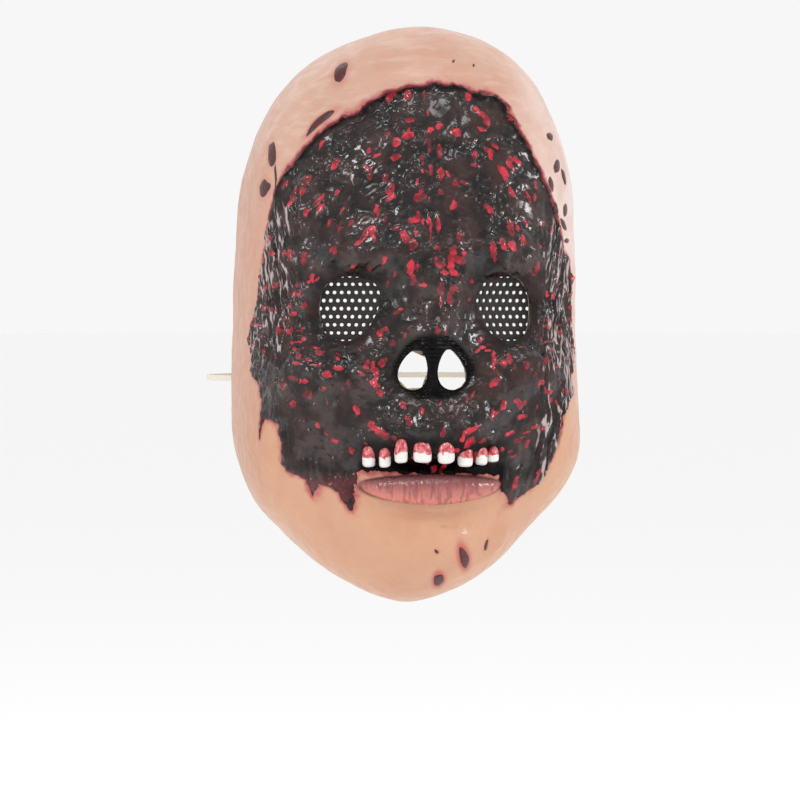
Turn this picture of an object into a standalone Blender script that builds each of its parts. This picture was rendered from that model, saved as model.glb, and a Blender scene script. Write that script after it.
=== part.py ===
"""A costume face mask of cast latex: a skin-coloured face whose middle is a burnt, skull-like wound.

The mask stands upright and faces -Y, as it is worn. The origin is the middle of the wearer's head,
level with the eye holes. Left and right are the viewer's, facing the mask. Sizes are in metres.
"""

import math

import bmesh
import bpy
import numpy as np

# Outline of the face, seen from the front
HALF_WIDTH = 0.0734
CROWN_RISE = 0.1346
CHIN_DROP = 0.1082
MIDDLE_HEIGHT = -0.015

# The face isn't quite even: chin to the left, crown to the right, nose and mouth a little right
CHIN_LEAN = 0.0036
CROWN_LEAN = 0.0049
MIDLINE = 0.0013
CHIN_LEAN_FROM = 0.43
CHIN_LEAN_SPAN = 0.28
CROWN_LEAN_FROM = 0.67

# Depths, from the front of the face back to where its surface has turned along Y
FRONT_DEPTH = 0.095
SIDE_DEPTH = 0.090
CROWN_DEPTH = 0.058
CHIN_DEPTH = 0.042
RIM_SKIRT = 0.008
SIDE_ROUNDNESS = 2.8
CROWN_ROUNDNESS = 2.3
CHIN_ROUNDNESS = 2.6
LIMB_SHARE = 0.88

# Latex wall and its relief
WALL = 0.002
RELIEF = 0.010
FIT_GAP = 0.0003

# Eye holes and the mesh behind them
EYE_OFFSET = 0.0318
EYE_WIDTH = 0.0243
EYE_TALL = 0.0259
MESH_MARGIN = 0.004
MESH_THICKNESS = 0.0008
MESH_HOLE = 0.0016
MESH_PITCH_SIDE = 0.0029
MESH_PITCH_UP = 0.0033

# Nostril holes
NOSTRIL_OFFSET = 0.0078
NOSTRIL_HEIGHT = -0.0250
NOSTRIL_WIDTH = 0.0112
NOSTRIL_TALL = 0.0166
NOSTRIL_TILT = math.radians(12)

# Teeth and lower lip
TEETH_HEIGHT = -0.0640
TOOTH_RISE = 0.0024
LIP_HEIGHT = -0.0743
LIP_WIDTH = 0.0600
LIP_TALL = 0.0120
LIP_RISE = 0.0052
FORM_SINK = 0.0012
FORM_BACK = 0.0003

# Elastic strap and the pads that hold its ends
STRAP_HEIGHT = -0.030
STRAP_WIDTH = 0.0024
STRAP_THICKNESS = 0.0009
STRAP_BACK = 0.088
STRAP_EAR_BULGE = 0.0066
PATCH_LENGTH = 0.015
PATCH_TALL = 0.012
PATCH_THICKNESS = 0.0028
PATCH_INSET = 0.0095

# Half of the outline from the chin to the crown: side as a share of HALF_WIDTH,
# height as a share of CHIN_DROP below the middle and of CROWN_RISE above it
OUTLINE = (
    # side, height
    (0.000, -1.000),
    (0.265, -0.952),
    (0.517, -0.846),
    (0.695, -0.731),
    (0.856, -0.618),
    (0.982, -0.446),
    (1.000, -0.228),
    (0.984, 0.061),
    (0.971, 0.390),
    (0.933, 0.553),
    (0.839, 0.701),
    (0.671, 0.848),
    (0.385, 0.952),
    (0.000, 1.000),
)

# Swellings and hollows of the face. Side and wide are shares of HALF_WIDTH, height and tall
# are shares of CROWN_RISE, both from the eye line, and rise is a share of RELIEF
SWELLINGS = (
    # form, side, height, wide, tall, rise
    ("brow", 0.38, 0.170, 0.27, 0.062, 0.60),
    ("glabella", 0.00, 0.110, 0.15, 0.070, 0.35),
    ("nose bridge", 0.00, -0.080, 0.120, 0.085, 0.60),
    ("nasal opening", 0.00, -0.185, 0.230, 0.080, -0.55),
    ("septum", 0.00, -0.185, 0.065, 0.085, 0.28),
    ("cheekbone", 0.64, -0.185, 0.23, 0.080, 0.50),
    ("cheek hollow", 0.55, -0.420, 0.19, 0.115, -0.50),
    ("upper jaw", 0.00, -0.385, 0.36, 0.090, 0.60),
    ("mouth groove", 0.00, -0.495, 0.38, 0.036, -0.50),
    ("lip crease", 0.00, -0.625, 0.30, 0.045, -0.35),
    ("chin", 0.00, -0.760, 0.33, 0.095, 0.60),
    ("temple", 0.86, 0.270, 0.22, 0.160, -0.25),
)
SOCKET_SPREAD = 0.72
SOCKET_RISE = -0.95

# Upper teeth from left to right: side from the middle and width as shares of LIP_WIDTH,
# length as a share of LIP_TALL, drop of the biting edge as a share of LIP_TALL
TEETH = (
    # side, width, length, drop
    (-0.435, 0.086, 0.70, 0.13),
    (-0.330, 0.078, 0.73, 0.14),
    (-0.225, 0.088, 0.80, -0.02),
    (-0.080, 0.122, 0.74, -0.03),
    (0.083, 0.112, 0.78, 0.00),
    (0.223, 0.102, 0.73, 0.13),
    (0.341, 0.082, 0.62, 0.08),
    (0.424, 0.080, 0.52, 0.00),
)

# Outline of the right eye hole, as shares of EYE_WIDTH and EYE_TALL from its middle;
# the left one mirrors it, and the low inner corner is cut off by the side of the nose
EYE_OUTLINE = (
    # across, up
    (-0.485, 0.14),
    (-0.410, 0.37),
    (-0.200, 0.48),
    (0.100, 0.50),
    (0.360, 0.41),
    (0.485, 0.18),
    (0.500, -0.10),
    (0.430, -0.36),
    (0.250, -0.49),
    (0.000, -0.50),
    (-0.200, -0.40),
    (-0.380, -0.17),
)

# Half of the strap's route behind the rim, seen from above: side as a share of the half width
# at the ears, back as a share of the way from the rim to the back of the head
STRAP_ROUTE = (
    # side, back
    (0.905, 0.060),
    (0.965, 0.150),
    (1.000, 0.290),
    (0.965, 0.560),
    (0.780, 0.800),
    (0.450, 0.953),
    (0.000, 1.000),
)

GRID_COLUMNS = 30
GRID_ROWS = 48
GRID_FOCUS = 0.38
EYE_SIDES = 24
NOSTRIL_SIDES = 14

MESH_COLLECTION = "latex_zombie_mask"
CUTTER_COLLECTION = "cutters"


def cubic_through(at, knots, values):
    """Smooth curve through a table's rows, with the knots in rising order."""
    slopes = np.gradient(values, knots)
    row = np.clip(np.searchsorted(knots, at) - 1, 0, len(knots) - 2)
    span = knots[row + 1] - knots[row]
    t = (at - knots[row]) / span
    return (
        values[row] * (1 + 2 * t) * (1 - t) ** 2
        + slopes[row] * span * t * (1 - t) ** 2
        + values[row + 1] * t * t * (3 - 2 * t)
        + slopes[row + 1] * span * t * t * (t - 1)
    )


def outline_radius(angle):
    """Distance from the face's middle to its outline, at an angle above the sideways axis."""
    rows = np.array(OUTLINE)
    side = rows[:, 0] * HALF_WIDTH
    up = rows[:, 1] * np.where(rows[:, 1] < 0, CHIN_DROP, CROWN_RISE)
    knots = np.arctan2(up, side)
    radii = np.hypot(side, up)
    # The rows next to the poles are repeated past them, so that the curve crosses the middle level
    knots = np.concatenate([[-math.pi - knots[1]], knots, [math.pi - knots[-2]]])
    radii = np.concatenate([[radii[1]], radii, [radii[-2]]])
    folded = np.arctan2(np.sin(angle), np.abs(np.cos(angle)))
    return cubic_through(folded, knots, radii)


def by_direction(angle, side, crown, chin):
    """A value that runs from the side's to the crown's or the chin's as the direction turns."""
    share = np.sin(angle) ** 2
    return side * (1 - share) + np.where(np.sin(angle) > 0, crown, chin) * share


def section_at(angle):
    """Depth and roundness of the face's section in one direction from its middle."""
    depth = by_direction(angle, SIDE_DEPTH, CROWN_DEPTH, CHIN_DEPTH)
    roundness = by_direction(angle, SIDE_ROUNDNESS, CROWN_ROUNDNESS, CHIN_ROUNDNESS)
    return depth, roundness


def swell(x, z, side, height, wide, tall, rise):
    """How far a swelling stands forward; it is repeated on both sides unless it is central."""
    total = np.zeros(np.shape(x))
    for centre in {side, -side}:
        total = total + rise * np.exp(-((x - centre) ** 2) / wide**2 - (z - height) ** 2 / tall**2)
    return total


def relief(x, z):
    """How far the face stands in front of its plain shell."""
    total = np.zeros(np.shape(x))
    for _form, side, height, wide, tall, rise in SWELLINGS:
        total = total + swell(
            x - MIDLINE,
            z,
            side * HALF_WIDTH,
            height * CROWN_RISE,
            wide * HALF_WIDTH,
            tall * CROWN_RISE,
            rise * RELIEF,
        )
    socket = SOCKET_SPREAD * np.array([EYE_WIDTH, EYE_TALL])
    return total + swell(x, z, EYE_OFFSET, 0.0, socket[0], socket[1], SOCKET_RISE * RELIEF)


def lean(up):
    """How far the face stands sideways at a height above its middle."""
    low = np.clip((-up / CHIN_DROP - CHIN_LEAN_FROM) / CHIN_LEAN_SPAN, 0.0, 1.0)
    high = np.clip((up / CROWN_RISE - CROWN_LEAN_FROM) / (1 - CROWN_LEAN_FROM), 0.0, 1.0)
    return CROWN_LEAN * high**2 - CHIN_LEAN * low * low * (3 - 2 * low)


def front_y(x, z):
    """Y of the face's outer surface at a point seen from the front, inside its outline."""
    up = z - MIDDLE_HEIGHT
    across = x - lean(up)
    angle = np.arctan2(up, across)
    depth, roundness = section_at(angle)
    share = np.minimum(np.hypot(across, up) / outline_radius(angle), 1.0)
    turned = (1 - share**roundness) ** (1 / roundness)
    return -FRONT_DEPTH + depth * (1 - turned) - relief(x, z)


def face_point(u, v):
    """Outer surface at a place in the square from -1 to 1, whose edge is the mask's rim."""
    across = u * np.sqrt(1 - v * v / 2)
    along = v * np.sqrt(1 - u * u / 2)
    reach = np.hypot(across, along)
    angle = np.arctan2(along, across)
    depth, roundness = section_at(angle)
    turn = np.minimum(reach / LIMB_SHARE, 1.0) * math.pi / 2
    skirt = np.maximum(reach - LIMB_SHARE, 0.0) / (1 - LIMB_SHARE) * RIM_SKIRT
    share = np.sin(turn) ** (2 / roundness)
    radius = outline_radius(angle) * share
    up = radius * np.sin(angle)
    x = radius * np.cos(angle) + lean(up)
    z = MIDDLE_HEIGHT + up
    level = np.maximum(np.cos(turn), 0.0) ** (2 / roundness)
    y = -FRONT_DEPTH + depth * (1 - level) + skirt - relief(x, z)
    return np.stack([x, y, z], axis=-1)


def crowded(t):
    """Grid lines stand closer together near the middle of the face."""
    return t - GRID_FOCUS * np.sin(math.pi * t) / math.pi


def clear_scene():
    for thing in list(bpy.data.objects):
        bpy.data.objects.remove(thing)


def new_collection(name):
    collection = bpy.data.collections.new(name)
    bpy.context.scene.collection.children.link(collection)
    return collection


def new_material(name, colour, roughness):
    material = bpy.data.materials.new(name)
    material.use_nodes = True
    shader = material.node_tree.nodes["Principled BSDF"]
    shader.inputs["Base Color"].default_value = (*colour, 1.0)
    shader.inputs["Roughness"].default_value = roughness
    shader.inputs["Metallic"].default_value = 0.0
    return material


def object_from(bm, name, collection, material=None):
    mesh = bpy.data.meshes.new(name)
    bm.to_mesh(mesh)
    bm.free()
    made = bpy.data.objects.new(name, mesh)
    collection.objects.link(made)
    if material:
        made.data.materials.append(material)
        made.data.shade_smooth()
        made.data.set_sharp_from_angle(angle=math.radians(40))
    return made


def as_cutter(cutter):
    cutter.hide_render = True
    cutter.display_type = "WIRE"
    return cutter


def cut(target, cutter, name, operation="DIFFERENCE"):
    boolean = target.modifiers.new(name, "BOOLEAN")
    boolean.operation = operation
    boolean.object = cutter
    boolean.solver = "EXACT"


def mesh_of(curve_object, name, collection, material=None):
    """A curve object made a mesh object, with its caps welded on."""
    graph = bpy.context.evaluated_depsgraph_get()
    mesh = bpy.data.meshes.new_from_object(curve_object.evaluated_get(graph))
    matrix = curve_object.matrix_world.copy()
    bpy.data.objects.remove(curve_object)
    bm = bmesh.new()
    bm.from_mesh(mesh)
    bpy.data.meshes.remove(mesh)
    bmesh.ops.remove_doubles(bm, verts=bm.verts, dist=1e-6)
    made = object_from(bm, name, collection, material)
    made.matrix_world = matrix
    return made


def flat_outline(name, points, half_height, collection):
    """A closed outline in a curve's own XY plane, filled and extruded both ways."""
    curve = bpy.data.curves.new(name, "CURVE")
    curve.dimensions = "2D"
    curve.fill_mode = "BOTH"
    curve.extrude = half_height
    spline = curve.splines.new("POLY")
    spline.points.add(len(points) - 1)
    for point, (x, y) in zip(spline.points, points):
        point.co = (x, y, 0.0, 1.0)
    spline.use_cyclic_u = True
    made = bpy.data.objects.new(name, curve)
    collection.objects.link(made)
    bpy.context.view_layer.update()
    return made


def eye_outline(side, grow=0.0):
    """Outline of an eye hole about its own middle, made larger by grow all round."""
    rows = np.array(EYE_OUTLINE) * (EYE_WIDTH + 2 * grow, EYE_TALL + 2 * grow)
    closed = np.concatenate([rows[-2:], rows, rows[:3]])
    knots = np.arange(-2, len(rows) + 3, dtype=float)
    at = np.linspace(0.0, len(rows), EYE_SIDES, endpoint=False)
    across, up = (cubic_through(at, knots, closed[:, axis]) for axis in (0, 1))
    return [(side * x, z) for x, z in zip(across, up)][:: -side]


def pear(width, tall, tilt, sides):
    """Outline of a pear with its narrow end up, turned by tilt."""
    points = []
    for step in range(sides):
        turn = 2 * math.pi * step / sides
        x = math.cos(turn) * (1 - 0.3 * math.sin(turn)) * width / 2
        z = math.sin(turn) * tall / 2
        points.append(
            (x * math.cos(tilt) - z * math.sin(tilt), x * math.sin(tilt) + z * math.cos(tilt))
        )
    return points


def through_cutter(name, outline, x, z, collection):
    """A prism through the face along Y, with its outline centred at x and z."""
    prism = flat_outline(name, outline, FRONT_DEPTH / 2, collection)
    prism.rotation_euler = (math.pi / 2, 0.0, 0.0)
    prism.location = (x, -FRONT_DEPTH, z)
    bpy.context.view_layer.update()
    return as_cutter(mesh_of(prism, name, collection))


def shell_grid(columns, rows):
    """A grid bent to the face's outer surface."""
    bm = bmesh.new()
    bmesh.ops.create_grid(bm, x_segments=columns, y_segments=rows, size=1.0)
    flat = np.array([vert.co for vert in bm.verts])
    places = face_point(crowded(flat[:, 0]), crowded(flat[:, 1]))
    for vert, place in zip(bm.verts, places):
        vert.co = place
    return bm


def form_y(x, z, centre_y, forward, rise):
    """Y on a rounded form that grows out of the face, and whose edge and back lie inside its wall."""
    front = max(forward, 0.0)
    back = max(-forward, 0.0)
    seat = (1 - front) * float(front_y(x, z)) + front * centre_y
    return seat + (1 - front) * FORM_SINK + back * FORM_BACK - front * rise


def tooth(index, side, width, length, drop, cutters):
    """One upper tooth: a rounded peg with a flat biting edge, narrow where it meets the gum."""
    bm = bmesh.new()
    bmesh.ops.create_uvsphere(bm, u_segments=10, v_segments=6, radius=1.0)
    centre_x = MIDLINE + side * LIP_WIDTH
    tall = length * LIP_TALL
    middle = TEETH_HEIGHT - drop * LIP_TALL + tall / 2
    centre_y = float(front_y(centre_x, middle))
    for vert in bm.verts:
        across, back, up = vert.co
        narrow = 1 - 0.30 * max(up, 0.0)
        squared = math.copysign(abs(up) ** (0.6 if up < 0 else 1.0), up)
        x = centre_x + across * narrow * width * LIP_WIDTH / 2
        z = middle + squared * tall / 2
        vert.co = (x, form_y(x, z, centre_y, -back, TOOTH_RISE), z)
    return as_cutter(object_from(bm, f"tooth_{index}", cutters))


def lower_lip(cutters):
    """The lower lip: a full cushion, pointed at its two corners and level along its top."""
    bm = bmesh.new()
    bmesh.ops.create_uvsphere(bm, u_segments=20, v_segments=8, radius=1.0)
    for vert in bm.verts:
        across, back, up = vert.co
        x = MIDLINE + across * LIP_WIDTH / 2
        level = 0.7 if up > 0 else 1.0
        z = LIP_HEIGHT + up * level * LIP_TALL / 2 + 0.15 * LIP_TALL * across**2
        centre_y = float(front_y(x, LIP_HEIGHT))
        vert.co = (x, form_y(x, z, centre_y, -back, LIP_RISE), z)
    return as_cutter(object_from(bm, "lip_form", cutters))


def latex_face(parts, cutters, latex):
    """The cast shell, with its teeth and lip joined on and its eye and nostril holes cut."""
    shell = object_from(shell_grid(GRID_COLUMNS, GRID_ROWS), "latex_face", parts, latex)
    wall = shell.modifiers.new("wall", "SOLIDIFY")
    wall.thickness = WALL
    wall.offset = -1.0
    for index, row in enumerate(TEETH, start=1):
        cut(shell, tooth(index, *row, cutters), f"tooth_{index}", "UNION")
    cut(shell, lower_lip(cutters), "lip", "UNION")
    for side, name in ((-1, "left"), (1, "right")):
        eye = eye_outline(side)
        eye_cutter = through_cutter(f"eye_cut_{name}", eye, side * EYE_OFFSET, 0.0, cutters)
        cut(shell, eye_cutter, f"eye_{name}")
        nostril = pear(NOSTRIL_WIDTH, NOSTRIL_TALL, side * NOSTRIL_TILT, NOSTRIL_SIDES)
        nostril_cutter = through_cutter(
            f"nostril_cut_{name}", nostril, MIDLINE + side * NOSTRIL_OFFSET, NOSTRIL_HEIGHT, cutters
        )
        cut(shell, nostril_cutter, f"nostril_{name}")
    return shell


def inside_y(x, z, distance):
    """Y of a surface that lies a distance behind the face's outer surface, measured square to it."""
    step = 0.0005
    slope_x = (front_y(x + step, z) - front_y(x - step, z)) / (2 * step)
    slope_z = (front_y(x, z + step) - front_y(x, z - step)) / (2 * step)
    return front_y(x, z) + distance * np.sqrt(1 + slope_x**2 + slope_z**2)


def mesh_gaps(side, cutters):
    """The staggered holes of an eye mesh that show in its eye hole, as one cutter."""
    bm = bmesh.new()
    rows = int(EYE_TALL / 2 / MESH_PITCH_UP)
    columns = int(EYE_WIDTH / 2 / MESH_PITCH_SIDE) + 1
    for row in range(-rows, rows + 1):
        for column in range(-columns, columns + 1):
            x = (column + 0.5 * (row % 2)) * MESH_PITCH_SIDE
            z = row * MESH_PITCH_UP
            if (2 * x / EYE_WIDTH) ** 2 + (2 * z / EYE_TALL) ** 2 > 1.0:
                continue
            made = bmesh.ops.create_cone(
                bm,
                cap_ends=True,
                segments=6,
                radius1=MESH_HOLE / 2,
                radius2=MESH_HOLE / 2,
                depth=FRONT_DEPTH,
            )
            for vert in made["verts"]:
                across, up, along = vert.co
                vert.co = (side * EYE_OFFSET + x + across, -FRONT_DEPTH + along, z + up)
    bmesh.ops.recalc_face_normals(bm, faces=bm.faces)
    return as_cutter(object_from(bm, f"mesh_gaps_{side}", cutters))


def eye_mesh(side, name, parts, cutters, mesh_material):
    """A thin perforated plate that follows the inside of the face behind one eye hole."""
    bm = bmesh.new()
    bmesh.ops.create_grid(bm, x_segments=4, y_segments=4, size=1.0)
    for vert in bm.verts:
        u, v = vert.co.x, vert.co.y
        x = side * EYE_OFFSET + u * math.sqrt(1 - v * v / 3) * (EYE_WIDTH / 2 + MESH_MARGIN)
        z = v * math.sqrt(1 - u * u / 3) * (EYE_TALL / 2 + MESH_MARGIN)
        vert.co = (x, float(inside_y(x, z, WALL + 4 * FIT_GAP)), z)
    plate = object_from(bm, f"eye_mesh_{name}", parts, mesh_material)
    thickness = plate.modifiers.new("thickness", "SOLIDIFY")
    thickness.thickness = MESH_THICKNESS
    thickness.offset = -1.0
    cut(plate, mesh_gaps(side, cutters), "gaps")
    return plate


def wall_side(y, z):
    """How far out the wall's inner face is at the side, at a depth and height."""
    up = z - MIDDLE_HEIGHT
    reach = HALF_WIDTH
    for _round in range(4):
        angle = math.atan2(up, reach)
        depth, roundness = section_at(angle)
        level = min(max((depth - FRONT_DEPTH - y) / depth, 0.0), 1.0)
        share = (1 - level**roundness) ** (1 / roundness)
        radius = float(outline_radius(np.array(angle))) * share
        reach = math.sqrt(max(radius**2 - up**2, 0.0))
    return reach - WALL


def rim_back():
    """Y of the rim beside the strap."""
    angle = math.atan2(STRAP_HEIGHT - MIDDLE_HEIGHT, HALF_WIDTH)
    depth, _roundness = section_at(angle)
    return depth - FRONT_DEPTH + RIM_SKIRT


def patch_face():
    """How far out the flat outer face of a strap pad is."""
    front = rim_back() - PATCH_INSET - PATCH_LENGTH
    heights = (STRAP_HEIGHT - PATCH_TALL / 2, STRAP_HEIGHT + PATCH_TALL / 2)
    return min(wall_side(front, z) for z in heights) - 2 * FIT_GAP


def strap_side():
    """How far out the middle of the strap is where a pad holds it."""
    return patch_face() - FIT_GAP - STRAP_THICKNESS / 2


def strap_centreline():
    """The strap's middle line seen from above, from its left end round the back to its right end."""
    front = rim_back() - PATCH_INSET - PATCH_LENGTH + FIT_GAP
    ear = HALF_WIDTH + STRAP_EAR_BULGE
    back = STRAP_BACK - rim_back()
    half = [
        (strap_side(), front),
        (strap_side(), rim_back() - PATCH_INSET),
        (strap_side() + FIT_GAP, rim_back() - WALL / 2),
    ]
    half += [(side * ear, rim_back() + share * back) for side, share in STRAP_ROUTE]
    whole = np.array([(-x, y) for x, y in half] + half[-2::-1])
    lengths = np.concatenate([[0.0], np.cumsum(np.linalg.norm(np.diff(whole, axis=0), axis=1))])
    along = np.linspace(0.0, lengths[-1], 61)
    return np.stack([cubic_through(along, lengths, whole[:, axis]) for axis in (0, 1)], axis=1)


def elastic_strap(parts, elastic):
    """The flat elastic: its middle line given its thickness, and extruded to its width."""
    line = strap_centreline()
    run = np.gradient(line, axis=0)
    run /= np.linalg.norm(run, axis=1)[:, None]
    out = np.stack([-run[:, 1], run[:, 0]], axis=1) * STRAP_THICKNESS / 2
    outline = np.concatenate([line + out, (line - out)[::-1]])
    band = flat_outline("elastic_strap", [tuple(p) for p in outline], STRAP_WIDTH / 2, parts)
    band.location = (0.0, 0.0, STRAP_HEIGHT)
    bpy.context.view_layer.update()
    return mesh_of(band, "elastic_strap", parts, elastic)


def strap_patch(side, name, parts, cutters, latex):
    """The pad inside the rim, with a channel across it for the strap's end."""
    middle = rim_back() - PATCH_INSET - PATCH_LENGTH / 2
    centre = side * (patch_face() - PATCH_THICKNESS / 2)
    bm = bmesh.new()
    bmesh.ops.create_cube(bm, size=1.0)
    bmesh.ops.scale(bm, vec=(PATCH_THICKNESS, PATCH_LENGTH, PATCH_TALL), verts=bm.verts)
    patch = object_from(bm, f"strap_patch_{name}", parts, latex)
    patch.location = (centre, middle, STRAP_HEIGHT)
    corners = patch.modifiers.new("corners", "BEVEL")
    corners.width = PATCH_THICKNESS / 4
    corners.segments = 2
    depth = STRAP_THICKNESS + 2 * FIT_GAP
    bm = bmesh.new()
    bmesh.ops.create_cube(bm, size=1.0)
    slot = (2 * depth, 2 * PATCH_LENGTH, STRAP_WIDTH + 2 * FIT_GAP)
    bmesh.ops.scale(bm, vec=slot, verts=bm.verts)
    channel = as_cutter(object_from(bm, f"channel_{name}", cutters))
    channel.location = (side * patch_face(), middle, STRAP_HEIGHT)
    cut(patch, channel, "channel")
    return patch


def main():
    clear_scene()
    parts = new_collection(MESH_COLLECTION)
    cutters = new_collection(CUTTER_COLLECTION)
    latex = new_material("painted_latex", (0.72, 0.46, 0.35), 0.5)
    raw_latex = new_material("raw_latex", (0.74, 0.56, 0.40), 0.6)
    mesh_material = new_material("black_eye_mesh", (0.02, 0.018, 0.017), 0.6)
    elastic = new_material("woven_elastic", (0.78, 0.74, 0.68), 0.8)
    latex_face(parts, cutters, latex)
    elastic_strap(parts, elastic)
    for side, name in ((-1, "left"), (1, "right")):
        eye_mesh(side, name, parts, cutters, mesh_material)
        strap_patch(side, name, parts, cutters, raw_latex)


main()
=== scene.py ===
"""The finish of a cast latex face mask: painted skin round a charred, glossy, skull-like wound."""

import math

import bmesh
import bpy
import numpy as np
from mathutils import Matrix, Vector, noise


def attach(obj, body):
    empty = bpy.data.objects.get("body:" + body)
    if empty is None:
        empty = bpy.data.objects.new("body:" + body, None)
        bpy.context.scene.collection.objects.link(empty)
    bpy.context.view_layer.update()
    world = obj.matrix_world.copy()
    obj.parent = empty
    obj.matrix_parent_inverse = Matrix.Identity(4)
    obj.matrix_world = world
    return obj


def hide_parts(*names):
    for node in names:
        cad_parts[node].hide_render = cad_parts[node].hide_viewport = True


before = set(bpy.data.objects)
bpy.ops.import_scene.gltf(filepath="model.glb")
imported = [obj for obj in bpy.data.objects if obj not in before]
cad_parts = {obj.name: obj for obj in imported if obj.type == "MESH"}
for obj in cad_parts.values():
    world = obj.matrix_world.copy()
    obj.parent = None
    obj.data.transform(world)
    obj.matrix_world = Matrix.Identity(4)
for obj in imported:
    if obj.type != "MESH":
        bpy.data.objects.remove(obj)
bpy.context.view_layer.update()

# The camera, and the photograph's own frame in pixels
PHOTO_WIDTH = 800
CAMERA_AWAY = 1.70
CAMERA_AZIMUTH = math.radians(-7.75)
CAMERA_ELEVATION = math.radians(1.25)
RIM_PIXELS_PER_METRE = 2300
AIM = Vector((0.0004, 0.0, -0.0396))
SENSOR = 36.0

# The face, in metres: its outline, its depths and its wall
HALF_WIDTH = 0.0734
CROWN_RISE = 0.1346
CHIN_DROP = 0.1082
MIDDLE_HEIGHT = -0.015
CHIN_LEAN = 0.0036
CROWN_LEAN = 0.0049
MIDLINE = 0.0013
CHIN_LEAN_FROM = 0.43
CHIN_LEAN_SPAN = 0.28
CROWN_LEAN_FROM = 0.67
FRONT_DEPTH = 0.095
SIDE_DEPTH = 0.090
CROWN_DEPTH = 0.058
CHIN_DEPTH = 0.042
RIM_SKIRT = 0.008
SIDE_ROUNDNESS = 2.8
CROWN_ROUNDNESS = 2.3
CHIN_ROUNDNESS = 2.6
LIMB_SHARE = 0.88
WALL = 0.002
PAINT_EDGE = 0.0002
RELIEF = 0.010

# Eye holes, nostrils, mouth
EYE_OFFSET = 0.0318
EYE_WIDTH = 0.0243
EYE_TALL = 0.0259
NOSTRIL_OFFSET = 0.0078
NOSTRIL_HEIGHT = -0.0250
NOSTRIL_WIDTH = 0.0112
NOSTRIL_TALL = 0.0166
NOSTRIL_TILT = math.radians(12)
TEETH_HEIGHT = -0.0640
LIP_HEIGHT = -0.0743
LIP_WIDTH = 0.0600
LIP_TALL = 0.0120
LIP_RISE = 0.0052

# Mesh behind the eye holes
FIT_GAP = 0.0003
MESH_MARGIN = 0.004
MESH_THICKNESS = 0.0008
MESH_HOLE = 0.0016
MESH_PITCH_SIDE = 0.0029
MESH_PITCH_UP = 0.0033
MESH_ROUNDNESS = 2.6

# Grid cells
SKIN_CELL = 0.0021
WOUND_CELL = 0.00053
LINING_CELL = 0.0032

OUTLINE = (
    # side, height
    (0.000, -1.000),
    (0.265, -0.952),
    (0.517, -0.846),
    (0.695, -0.731),
    (0.856, -0.618),
    (0.982, -0.446),
    (1.000, -0.228),
    (0.984, 0.061),
    (0.971, 0.390),
    (0.933, 0.553),
    (0.839, 0.701),
    (0.671, 0.848),
    (0.385, 0.952),
    (0.000, 1.000),
)
SWELLINGS = (
    # form, side, height, wide, tall, rise
    ("brow", 0.38, 0.170, 0.27, 0.062, 0.60),
    ("glabella", 0.00, 0.110, 0.15, 0.070, 0.35),
    ("nose bridge", 0.00, -0.080, 0.120, 0.085, 0.60),
    ("nasal opening", 0.00, -0.185, 0.230, 0.080, -0.55),
    ("septum", 0.00, -0.185, 0.065, 0.085, 0.28),
    ("cheekbone", 0.64, -0.185, 0.23, 0.080, 0.50),
    ("cheek hollow", 0.55, -0.420, 0.19, 0.115, -0.50),
    ("upper jaw", 0.00, -0.385, 0.36, 0.090, 0.60),
    ("mouth groove", 0.00, -0.495, 0.38, 0.036, -0.50),
    ("lip crease", 0.00, -0.625, 0.30, 0.045, -0.35),
    ("chin", 0.00, -0.760, 0.33, 0.095, 0.60),
    ("temple", 0.86, 0.270, 0.22, 0.160, -0.25),
)
SOCKET_SPREAD = 0.72
SOCKET_RISE = -0.95
EYE_OUTLINE = (
    # across, up
    (-0.485, 0.14),
    (-0.410, 0.37),
    (-0.200, 0.48),
    (0.100, 0.50),
    (0.360, 0.41),
    (0.485, 0.18),
    (0.500, -0.10),
    (0.430, -0.36),
    (0.250, -0.49),
    (0.000, -0.50),
    (-0.200, -0.40),
    (-0.380, -0.17),
)
TEETH = (
    # side, width, length, drop
    (-0.435, 0.086, 0.70, 0.13),
    (-0.330, 0.078, 0.73, 0.14),
    (-0.225, 0.088, 0.80, -0.02),
    (-0.080, 0.122, 0.74, -0.03),
    (0.083, 0.112, 0.78, 0.00),
    (0.223, 0.102, 0.73, 0.13),
    (0.341, 0.082, 0.62, 0.08),
    (0.424, 0.080, 0.52, 0.00),
)

# The wound's ragged outline, clockwise from its top, in the photograph's pixels
WOUND_OUTLINE = (
    (383, 96), (409, 88), (435, 84), (461, 86), (477, 94), (493, 96), (503, 104), (514, 122),
    (524, 141), (535, 162), (543, 180), (550, 198), (558, 224), (562, 250), (569, 262), (571, 280),
    (570, 315), (572, 350), (571, 395), (566, 403), (562, 426), (556, 450), (548, 468), (537, 484),
    (524, 494), (508, 505), (501, 489), (498, 476), (485, 474), (465, 475), (440, 475), (415, 474),
    (390, 473), (372, 472), (357, 473), (357, 489), (354, 513), (346, 507), (336, 492), (325, 484),
    (312, 497), (305, 479), (290, 473), (281, 463), (282, 447), (278, 426), (265, 419), (260, 438),
    (261, 412), (259, 387), (251, 373), (252, 358), (248, 339), (250, 332), (256, 311), (260, 285),
    (264, 258), (268, 232), (273, 203), (278, 185), (286, 172), (297, 159), (310, 143), (331, 125),
    (357, 112),
)

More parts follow.
